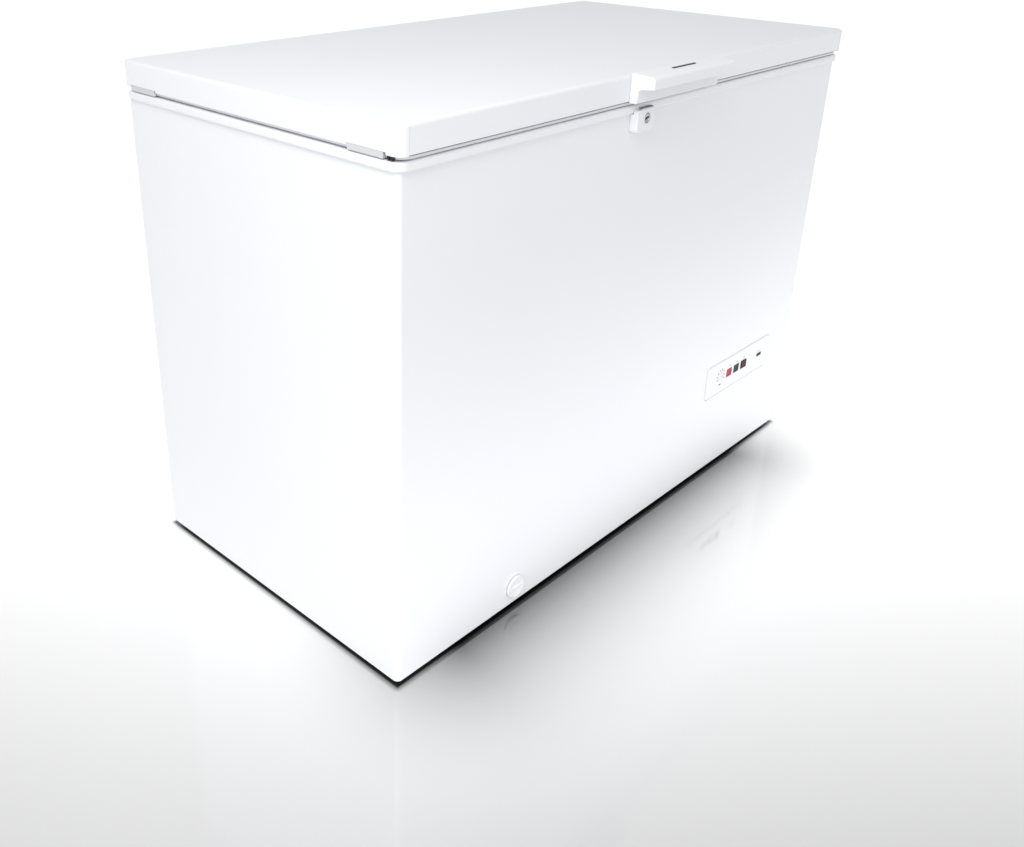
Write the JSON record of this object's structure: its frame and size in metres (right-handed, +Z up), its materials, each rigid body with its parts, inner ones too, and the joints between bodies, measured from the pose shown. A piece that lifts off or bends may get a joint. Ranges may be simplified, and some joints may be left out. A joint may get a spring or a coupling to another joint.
{
  "type": "chest freezer",
  "caption": "White chest freezer with a hinged lid, front handle, key lock, lower-right control panel, drain and hanging basket.",
  "frame": {"origin": "on the floor, under the centre of the whole object's plan box, from the handle's front to the hinges' back", "axes": "+X to the right along the front, +Y from the front to the back, +Z up"},
  "size_m": [1.199, 0.688, 0.8686],
  "materials": {
    "white_powder_coat": "satin",
    "zinc_steel": "satin",
    "spring_steel": "satin",
    "black_plastic": "satin",
    "white_liner": "satin",
    "pu_foam": "matte",
    "white_abs": "satin",
    "copper": "satin",
    "black_enamel": "gloss",
    "black_rubber": "matte",
    "grey_abs": "satin",
    "gasket_rubber": "matte",
    "red_lens": "gloss",
    "green_lens": "gloss",
    "amber_lens": "gloss",
    "chrome_barrel": "polished",
    "coated_wire": "satin",
    "frosted_lens": "satin"
  },
  "bodies": {
    "cabinet": {"cabinet_wrap": "white_powder_coat", "back_panel": "white_powder_coat", "base_pan": "zinc_steel", "foot_back_left": "black_plastic", "foot_back_right": "black_plastic", "foot_front_left": "black_plastic", "foot_front_right": "black_plastic", "inner_liner": "white_liner", "insulation_foam": "pu_foam", "top_collar": "white_abs", "evaporator_coil": "copper", "condenser_coil": "copper", "compressor": "black_enamel", "compressor_tray": "zinc_steel", "compressor_mount_front_left": "black_rubber", "compressor_mount_front_right": "black_rubber", "compressor_mount_back_left": "black_rubber", "compressor_mount_back_right": "black_rubber", "start_relay": "black_plastic", "filter_drier": "copper", "suction_tube": "copper", "discharge_tube": "copper", "vent_grille": "white_abs", "rear_cover": "zinc_steel", "mains_inlet_gland": "black_plastic", "control_panel": "white_abs", "control_box": "grey_abs", "thermostat_body": "zinc_steel", "red_alarm_lens": "red_lens", "green_power_lens": "green_lens", "panel_badge": "black_plastic", "drain_tube": "grey_abs", "lock_housing": "white_abs", "hinge_bracket_left": "zinc_steel", "hinge_bracket_right": "zinc_steel", "hinge_pin_left": "zinc_steel", "hinge_pin_right": "zinc_steel", "hinge_spring_left": "spring_steel", "hinge_spring_right": "spring_steel"},
    "lid": {"lid_shell": "white_powder_coat", "lid_foam": "pu_foam", "lid_inner_panel": "white_liner", "gasket": "gasket_rubber", "lid_insert_front_left": "grey_abs", "lid_insert_front_right": "grey_abs", "lid_insert_back_left": "grey_abs", "lid_insert_back_right": "grey_abs", "handle": "white_abs", "lid_badge": "black_plastic", "interior_lamp_lens": "frosted_lens", "hinge_leaf_left": "zinc_steel", "hinge_leaf_right": "zinc_steel"},
    "dial": {"thermostat_dial": "white_abs"},
    "freeze_button": {"fast_freeze_button": "amber_lens"},
    "key": {"key_barrel": "chrome_barrel"},
    "bolt": {"lock_bolt": "zinc_steel"},
    "drain_cap": {"drain_cap": "white_abs"},
    "drain_plug": {"drain_plug": "grey_abs"},
    "basket": {"basket": "coated_wire"}
  },
  "joints": [
    {"name": "lid_hinge", "type": "hinge", "parent": "cabinet", "child": "lid", "pos_m": [0, 0.3355, 0.806], "axis": [-1, 0, 0], "range_deg": [0, 85]},
    {"name": "thermostat_turn", "type": "hinge", "parent": "cabinet", "child": "dial", "pos_m": [0.307, -0.2935, 0.217], "axis": [0, -1, 0], "range_deg": [-135, 135]},
    {"name": "fast_freeze_press", "type": "slide", "parent": "cabinet", "child": "freeze_button", "axis": [0, 1, 0], "range_m": [0, 0.002], "stiffness_N_per_m": 400, "springref_m": -0.004},
    {"name": "key_turn", "type": "hinge", "parent": "cabinet", "child": "key", "pos_m": [-0.079, -0.3075, 0.796], "axis": [0, -1, 0], "range_deg": [0, 90]},
    {"name": "lock_bolt_slide", "type": "slide", "parent": "cabinet", "child": "bolt", "axis": [0, 0, 1], "range_m": [0, 0.018]},
    {"name": "drain_cap_pull", "type": "slide", "parent": "cabinet", "child": "drain_cap", "axis": [0, -1, 0], "range_m": [0, 0.025]},
    {"name": "drain_plug_pull", "type": "slide", "parent": "cabinet", "child": "drain_plug", "axis": [0, 0, 1], "range_m": [0, 0.03]},
    {"name": "basket_slide", "type": "slide", "parent": "cabinet", "child": "basket", "axis": [-1, 0, 0], "range_m": [0, 0.79]}
  ],
  "couplings": [
    {"joint": "lock_bolt_slide", "follows": "key_turn", "m_per_rad": 0.011459}
  ]
}
